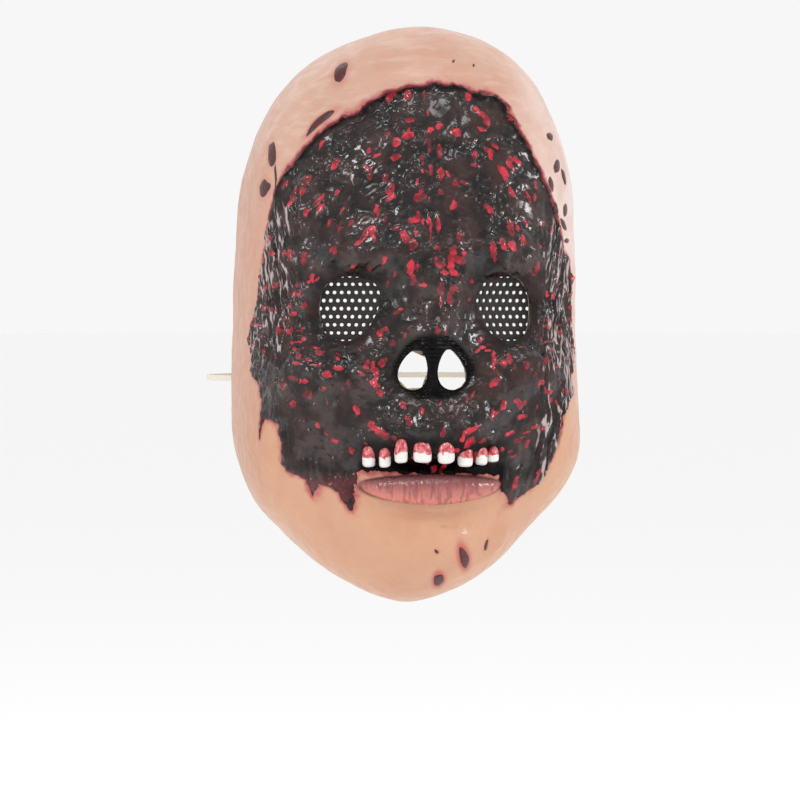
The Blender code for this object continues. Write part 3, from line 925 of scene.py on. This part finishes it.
def wound(material):
    """The charred middle of the face: a crust of lumps, grit, strands and drips."""
    low = WOUND_SPREAD.min(axis=0) - 0.006
    high = WOUND_SPREAD.max(axis=0) + 0.006
    bm = sheet(WOUND_CELL, low, high)
    flat = places(bm)[:, :2]
    far_out = depth_inside(flat, WOUND_SPREAD) < -0.0045
    doomed = {vert for vert, out in zip(bm.verts, far_out) if out}
    bmesh.ops.delete(bm, geom=list(doomed), context="VERTS")
    points, spread = lay_on_face(bm, FIT_GAP)
    normals = directions(bm)
    pixels = to_photo(points)
    depth = depth_in_wound(spread, points)
    sides = side_share(pixels)
    melt = melt_share(pixels)
    calm = smooth_step(150, 110, pixels[:, 1]) * smooth_step(395, 425, pixels[:, 0])
    coarse = (1 - 0.6 * calm) * (1 - 0.5 * np.clip(sides + melt, 0, 1))
    lumps = rough(points, 0.0100, 2, seed=1)
    folds = rough(points, 0.0050, 1, seed=2)
    busy = smooth_step(-0.15, 0.35, rough(points, 0.012, 2, seed=7))
    beads = np.clip(0.55 - cells(points, 0.0027, seed=5), 0.0, 1.0) ** 1.5 * 3.0
    strands = smoothed_fibres(points, spread)
    hole_gap = np.min([-depth_inside(points[:, (0, 2)], o) for o in hole_outlines()], axis=0)
    hole_gap = np.where(points[:, 1] < -FRONT_DEPTH / 2, np.maximum(hole_gap, 0.0), 1.0)
    socket = smooth_step(0.0075, 0.0015, hole_gap)
    red = scatter_flecks(spread, pixels) * (1 - 0.8 * socket)
    coarse = coarse * (1 - 0.55 * socket)
    height = coarse * (0.60 * lumps + 0.42 * folds + 0.85 * (0.35 + busy) * (beads - 0.4))
    height = height + np.clip(1.1 * sides + 0.7 * melt, 0, 1.2) * strands + 0.30 * red
    rope = np.exp(-(((depth - 0.0017) / 0.0013) ** 2)) * smooth_step(230, 130, pixels[:, 1])
    height = height + rope * (0.9 + 0.5 * rough(points, 0.003, 2, seed=8))
    recess = nasal_recess(pixels)
    height = height * (1 - 0.7 * recess) + 0.35 * recess * np.sin(pixels[:, 1] * 1.5)
    groove = mouth_groove(pixels)
    height = height * (1 - 0.8 * groove)
    rise = 0.0005 + 0.001 * height - 0.0010 * recess - 0.0006 * groove
    fade = smooth_step(-0.0008, 0.0008, depth)
    offset = fade * rise - (1 - fade) * 0.0018
    calm_edge = smooth_step(0.0, 0.0025, hole_gap)
    offset = np.where(depth > 0, offset * calm_edge + 0.0003 * (1 - calm_edge), offset)
    put(bm, points + normals * offset[:, None])
    # Near-black paint along the upper edge, in the mouth groove and round the teeth; the nasal hollow and
    # the eye sockets get painted shade.
    black_edge_and_hollow_shade = smooth_step(0.0045, 0.001, depth) * smooth_step(280, 150, pixels[:, 1])
    black_edge_and_hollow_shade = black_edge_and_hollow_shade + 0.9 * recess + groove + 0.8 * gum_share(pixels) + 0.45 * socket
    black_edge_and_hollow_shade = np.clip(black_edge_and_hollow_shade, 0, 1)
    ember = smooth_step(0.0022, 0.0, depth) * smooth_step(120, 200, pixels[:, 1])
    drip = smooth_step(470, 486, pixels[:, 1]) * smooth_step(366, 352, pixels[:, 0])
    ember = np.clip(ember + drip, 0, 1)
    return finish_piece(
        bm,
        "charred_wound",
        material,
        {
            "height": height,
            "fleck": red * (1 - 0.7 * recess),
            "rim": black_edge_and_hollow_shade,
            "ember": ember,
            "strand": strands * np.clip(sides + 0.5 * melt, 0, 1),
        },
    )


def nasal_recess(pixels):
    """Share of the heart-shaped hollow round the nostrils, which is also painted dark as shade."""
    across = (pixels[:, 0] - 433.5) / 40
    down = (pixels[:, 1] - 366) / 33
    reach = np.hypot(across * (1.0 + 0.35 * np.clip(-down, 0, 1)), down)
    return smooth_step(1.15, 0.85, reach)


def gum_share(pixels):
    """Share of the black gum round the teeth."""
    ends = smooth_step(352, 366, pixels[:, 0]) * smooth_step(512, 498, pixels[:, 0])
    return ends * smooth_step(432, 446, pixels[:, 1])


def mouth_groove(pixels):
    """Share of the dark groove between the teeth's edges and the lower lip."""
    level = 468 + 4 * smooth_step(430, 490, pixels[:, 0])
    ends = smooth_step(356, 368, pixels[:, 0]) * smooth_step(508, 496, pixels[:, 0])
    return ends * smooth_step(9, 5, np.abs(pixels[:, 1] - level))


def lip_form(x, z):
    """How far the lower lip stands out, its share of each place, how low each is on it, and the crease under
    it, where shade is painted.
    """
    across = (x - MIDLINE) / (LIP_WIDTH / 2)
    level = LIP_HEIGHT + 0.12 * LIP_TALL * across**2
    up = (z - level) / (LIP_TALL / 2)
    up = np.where(up > 0, up / 0.95, up / 1.02)
    round_off = 1 - np.abs(across) ** 2.0 - np.abs(up) ** 2.1
    rise = LIP_RISE * np.clip(round_off, 0.0, 1.0) ** 0.55
    share = smooth_step(-0.10, 0.10, round_off)
    line = np.exp(-(((round_off - 0.02) / 0.10) ** 2)) * smooth_step(0.3, -0.2, up)
    return rise, share, smooth_step(0.7, -0.7, up), line


def along_folds(spread):
    """How far the folds lift or press each place of the skin."""
    total = np.zeros(len(spread))
    for pixels, width, depth in FOLDS:
        line = np.array([spread_at_pixel(pixel) for pixel in pixels])
        nearest = np.full(len(spread), np.inf)
        for start, end in zip(line[:-1], line[1:]):
            nearest = np.minimum(nearest, gap_to_run(spread, start, end))
        total += depth * np.exp(-((nearest / width) ** 2))
    return total


def spot_halo(spread):
    """Share of the reddened skin round the larger spots."""
    total = np.zeros(len(spread))
    for spot, (middle, axes) in zip(BLOOD_SPOTS, SPOT_AXES):
        place = (spread - middle) @ np.linalg.inv(axes)
        total = np.maximum(total, spot[-1] * smooth_step(2.0, 0.9, np.linalg.norm(place, axis=1)))
    return total


def skin_relief(spread, points):
    """How far the skin stands out at places on it, and what colours it there."""
    pixels = to_photo(points)
    outside = -depth_in_wound(spread, points)
    rolled = smooth_step(330, 230, pixels[:, 1])
    roll = np.exp(-(((outside - 0.0012) / 0.0014) ** 2))
    lift = 0.0007 * rolled * roll * (1 + 0.6 * rough(points, 0.003, 2, seed=21))
    sunk = 0.0011 * smooth_step(0.0, 0.0015, -outside)
    lip_rise, lip_share, lip_down, shaded_lip_crease = lip_form(points[:, 0], points[:, 2])
    creases = 0.00022 * rough(points * np.array([1.0, 0.1, 0.12]), 0.0013, 2, seed=22)
    wavy = 0.00045 * rough(points, 0.022, 3, seed=23) + along_folds(spread)
    offset = lip_rise + lip_share * creases - 0.0005 * shaded_lip_crease
    offset = offset + (1 - lip_share) * (lift - sunk + wavy)
    colours = {
        "burn": np.exp(-np.clip(outside, 0.0, 1.0) / 0.0021) * (0.60 + 0.40 * rolled),
        "charred": (1 - lip_share) * smooth_step(0.0004, 0.0012, -outside),
        "lip": lip_share,
        "lip_down": lip_down,
        "shaded_lip_crease": 0.9 * shaded_lip_crease,
        "halo": spot_halo(spread),
    }
    return offset, colours


def skin(material):
    """The painted shell round the wound, with its lip, its cut edges and its bare inside."""
    bm = sheet(SKIN_CELL, *RIM_CORNERS)
    lip_corners = spread_box(
        (-LIP_WIDTH / 2 - 0.002, LIP_HEIGHT - 0.010), (LIP_WIDTH / 2 + 0.004, LIP_HEIGHT + 0.007)
    )

    def near_lip(flat):
        return ((flat > lip_corners[0]) & (flat < lip_corners[1])).all(axis=1)

    refine(bm, lambda flat: (depth_inside(flat, WOUND_SPREAD) < 0.004) | near_lip(flat))
    refine(
        bm,
        lambda flat: (np.abs(depth_inside(flat, WOUND_SPREAD) + 0.002) < 0.005) | near_lip(flat),
    )
    points, spread = lay_on_face(bm)
    normals = directions(bm)
    offset, colours = skin_relief(spread, points)
    put(bm, points + normals * offset[:, None])
    for label, values in colours.items():
        layer = bm.verts.layers.float.new(label)
        for vert, value in zip(bm.verts, values):
            vert[layer] = value
    raw = bm.verts.layers.float.new("raw")
    turn_edges_in(bm, raw)
    join_lining(bm, raw)
    return finish_piece(bm, "painted_skin", material)


def spread_box(low, high):
    """Corners, as lengths along the surface, of a box seen from the front."""
    points = spread_point(LOOKUP_A, LOOKUP_B)
    seen = (points[:, 0] > low[0]) & (points[:, 0] < high[0])
    seen &= (points[:, 2] > low[1]) & (points[:, 2] < high[1])
    found = np.stack([LOOKUP_A[seen], LOOKUP_B[seen]], axis=1)
    return found.min(axis=0), found.max(axis=0)


def turn_edges_in(bm, raw):
    """Gives each open edge its cut face: a thin paint edge, then the bare latex of the wall."""
    for step in (PAINT_EDGE, WALL - PAINT_EDGE):
        edges = [edge for edge in bm.edges if edge.is_boundary]
        bm.normal_update()
        inward = {vert: vert.normal.copy() for edge in edges for vert in edge.verts}
        made = bmesh.ops.extrude_edge_only(bm, edges=edges)["geom"]
        new = [part for part in made if isinstance(part, bmesh.types.BMVert)]
        for vert in new:
            near = [edge.other_vert(vert) for edge in vert.link_edges]
            source = next(other for other in near if other in inward)
            vert.co = vert.co - inward[source] * step
            near_nose = abs(vert.co.x - MIDLINE) < 0.020 and abs(vert.co.z - NOSTRIL_HEIGHT) < 0.013
            vert[raw] = 0.0 if near_nose else 1.0


def join_lining(bm, raw):
    """Adds the bare inside of the shell and closes the gaps between it and the cut edges."""
    inner = sheet(LINING_CELL, *RIM_CORNERS)
    bend(inner)
    for outline in hole_outlines():
        carve_hole(inner, outline)
    put(inner, places(inner) - directions(inner) * WALL)
    bmesh.ops.reverse_faces(inner, faces=inner.faces)
    mesh = bpy.data.meshes.new("lining")
    inner.to_mesh(mesh)
    inner.free()
    before = set(bm.verts)
    bm.from_mesh(mesh)
    bpy.data.meshes.remove(mesh)
    added = {vert for vert in bm.verts if vert not in before}
    for vert in added:
        vert[raw] = 1.0
    loops = boundary_loops(bm)
    outer = [loop for loop in loops if loop[0].verts[0] not in added]
    inside = [loop for loop in loops if loop[0].verts[0] in added]

    def middle(loop):
        return sum((vert.co for edge in loop for vert in edge.verts), Vector()) / (2 * len(loop))

    for loop in outer:
        mate = min(inside, key=lambda other: (middle(other) - middle(loop)).length)
        bmesh.ops.bridge_loops(bm, edges=loop + mate)


def teeth(material):
    """Eight upper teeth: pegs with a wide flat biting edge, narrower at the gum."""
    whole = bmesh.new()
    layer = whole.verts.layers.float.new("tooth_up")
    for number, (side, width, length, drop) in enumerate(TEETH):
        made = bmesh.ops.create_uvsphere(whole, u_segments=32, v_segments=22, radius=1.0)["verts"]
        centre_x = MIDLINE + side * LIP_WIDTH
        tall = length * LIP_TALL
        middle = TEETH_HEIGHT - drop * LIP_TALL + tall / 2
        seat = float(front_y(np.array(centre_x), np.array(middle)))
        for vert in made:
            across, back, up = vert.co
            # A ball is squared towards the biting edge and left round at the gum
            ring = math.sqrt(max(1e-9, 1 - up * up))
            full = (1 - abs(up) ** 6) ** 0.5 if up < 0 else (1 - up**2.6) ** 0.62
            level = math.copysign(abs(up) ** (0.75 if up < 0 else 1.0), up)
            wide = across / ring * full
            lump = 1 + 0.05 * noise.noise((across * 1.5 + 9 * number, up * 1.5, back))
            vert[layer] = (level + 1) / 2
            vert.co = (
                centre_x + wide * 1.05 * width * LIP_WIDTH / 2 * lump,
                seat + back / ring * full * 0.0030 - 0.0004,
                middle + 0.0009 + level * tall * 0.57 * lump,
            )
    return finish_piece(whole, "upper_teeth", material)


def blood(material):
    """The drops and slashes on the skin, each a low rounded blob sunk in at its edge."""
    bm = bmesh.new()
    for number, (middle, axes) in enumerate(SPOT_AXES):
        made = bmesh.ops.create_uvsphere(bm, u_segments=24, v_segments=12, radius=1.0)["verts"]
        ball = np.array([vert.co for vert in made])
        wobble = 1 + 0.30 * rough(ball * (1, 1, 0) + 5 * number, 0.8)
        spread = middle + (ball[:, :2] * wobble[:, None]) @ axes
        point, out = surface_frame(spread[:, 0], spread[:, 1])
        offset, _colours = skin_relief(spread, point)
        rise = offset + np.where(ball[:, 2] > 0, 0.0005, 0.0010) * ball[:, 2]
        for vert, place in zip(made, point + out * rise[:, None]):
            vert.co = place
    return finish_piece(bm, "blood_spots", material)


def inside_y(x, z, distance):
    """Y of a surface that lies a distance behind the face's outer surface, measured square to it."""
    step = 0.0005
    slope_x = (front_y(x + step, z) - front_y(x - step, z)) / (2 * step)
    slope_z = (front_y(x, z + step) - front_y(x, z - step)) / (2 * step)
    return front_y(x, z) + distance * np.sqrt(1 + slope_x**2 + slope_z**2)


def ring_points(radius):
    """Twelve points of a circle at the angles of a mesh cell's corners and edge middles."""
    corners = cell_points()
    angles = np.arctan2(corners[:, 1], corners[:, 0])
    return radius * np.stack([np.cos(angles), np.sin(angles)], axis=1)


def cell_points():
    """Corners and edge middles of the six-sided cell round each hole of the mesh."""
    top = (MESH_PITCH_UP**2 + MESH_PITCH_SIDE**2 / 4) / (2 * MESH_PITCH_UP)
    shoulder = MESH_PITCH_UP - top
    half = MESH_PITCH_SIDE / 2
    corners = np.array(
        [(half, shoulder), (0, top), (-half, shoulder), (-half, -shoulder), (0, -top), (half, -shoulder)]
    )
    middles = (corners + np.roll(corners, -1, axis=0)) / 2
    return np.stack([corners, middles], axis=1).reshape(-1, 2)


def eye_mesh(side, name, material):
    """The perforated plate behind one eye hole: a honeycomb with a round hole in each cell."""
    bm = bmesh.new()
    half_wide = EYE_WIDTH / 2 + MESH_MARGIN
    half_tall = EYE_TALL / 2 + MESH_MARGIN
    rows = int(half_tall / MESH_PITCH_UP)
    columns = int(half_wide / MESH_PITCH_SIDE) + 1
    for row in range(-rows, rows + 1):
        for column in range(-columns, columns + 1):
            x = (column + 0.5 * (row % 2)) * MESH_PITCH_SIDE
            z = row * MESH_PITCH_UP
            if abs(x / half_wide) ** MESH_ROUNDNESS + abs(z / half_tall) ** MESH_ROUNDNESS > 1:
                continue
            outer = bmesh.ops.create_circle(bm, segments=12, radius=1.0)["verts"]
            inner = bmesh.ops.create_circle(bm, segments=12, radius=1.0)["verts"]
            for verts, places_round in ((outer, cell_points()), (inner, ring_points(MESH_HOLE / 2))):
                for vert, (across, up) in zip(verts, places_round):
                    vert.co = (x + across, z + up, 0.0)
            edges = {edge for vert in outer + inner for edge in vert.link_edges}
            bmesh.ops.bridge_loops(bm, edges=list(edges))
    bmesh.ops.remove_doubles(bm, verts=bm.verts, dist=0.00005)
    flat = places(bm)
    x = side * EYE_OFFSET + flat[:, 0]
    z = flat[:, 1]
    put(bm, np.stack([x, inside_y(x, z, WALL + 4 * FIT_GAP), z], axis=1))
    bmesh.ops.recalc_face_normals(bm, faces=bm.faces)
    bm.faces.ensure_lookup_table()
    if bm.faces[0].normal.y > 0:
        bmesh.ops.reverse_faces(bm, faces=bm.faces)
    bmesh.ops.solidify(bm, geom=bm.faces[:], thickness=MESH_THICKNESS)
    mesh = finish_piece(bm, f"perforated_mesh_{name}", material)
    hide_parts(f"eye_mesh_{name}")


def dress(piece, material, edge):
    """Gives a kept CAD piece its finish and softly rounded edges."""
    piece.data.materials.clear()
    piece.data.materials.append(material)
    soft = piece.modifiers.new("soft_edges", "BEVEL")
    soft.width = edge
    soft.segments = 2
    soft.limit_method = "ANGLE"


# Stage


def stage():
    """A wide pale floor and soft studio lights."""
    bm = bmesh.new()
    bmesh.ops.create_circle(bm, cap_ends=True, segments=64, radius=60.0)
    bmesh.ops.translate(bm, vec=(0, 0, -0.30), verts=bm.verts)
    mesh = bpy.data.meshes.new("floor")
    bm.to_mesh(mesh)
    bm.free()
    material, tree, shader = new_material("pale_floor")
    shader.inputs["Base Color"].default_value = colour("#F7F7F7")
    shader.inputs["Roughness"].default_value = 1.0
    shader.inputs["Specular IOR Level"].default_value = 0.0
    mesh.materials.append(material)
    floor = bpy.data.objects.new("floor", mesh)
    bpy.context.scene.collection.objects.link(floor)
    light_world()
    for name, place, size, power in (
        ("key", (-0.50, -1.35, 1.00), 0.30, 7.0),
        ("right_strip", (1.25, -0.80, 0.25), 0.30, 6.6),
        ("left_strip", (-1.25, -0.70, 0.10), 0.30, 4.0),
        ("top", (0.35, -1.05, 1.20), 0.30, 2.6),
    ):
        light = bpy.data.lights.new(name, "AREA")
        light.size = size
        light.energy = power
        lamp = bpy.data.objects.new(name, light)
        lamp.location = place
        lamp.rotation_euler = Vector(place).to_track_quat("Z", "Y").to_euler()
        bpy.context.scene.collection.objects.link(lamp)
    bpy.context.scene.view_settings.view_transform = "Standard"


def light_world():
    """A room brighter overhead and behind, so that the floor is as pale as the wall behind it."""
    world = bpy.data.worlds.new("studio")
    bpy.context.scene.world = world
    world.use_nodes = True
    tree = world.node_tree
    direction = node(tree, "ShaderNodeTexCoord").outputs["Generated"]
    parts = node(tree, "ShaderNodeSeparateXYZ", {"Vector": direction}).outputs
    wall = spread_range(tree, parts["Y"], -0.5, 0.4, 0.56, 0.93)
    ceiling = spread_range(tree, parts["Z"], 0.2, 0.8, 0.0, 0.12)
    overhead = spread_range(tree, parts["Z"], 0.25, 0.6)
    behind = spread_range(tree, parts["Y"], -0.05, 0.4, 0.0, 0.45)
    strength = maths(tree, maths(tree, wall, ceiling, "ADD"), maths(tree, overhead, behind), "ADD")
    tree.links.new(strength, tree.nodes["Background"].inputs["Strength"])
    tree.nodes["Background"].inputs["Color"].default_value = (1.0, 1.0, 1.0, 1.0)


def main():
    make_camera()
    stage()
    shell = skin(painted_latex())
    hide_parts("latex_face")
    wound(charred_latex())
    teeth(painted_teeth())
    blood(dried_blood())
    mesh_material = perforated_mesh()
    for side, name in ((-1, "left"), (1, "right")):
        eye_mesh(side, name, mesh_material)
    dress(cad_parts["elastic_strap"], woven_elastic(), 0.00015)
    pad = raw_latex()
    for name in ("left", "right"):
        dress(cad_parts[f"strap_patch_{name}"], pad, 0.0002)


main()
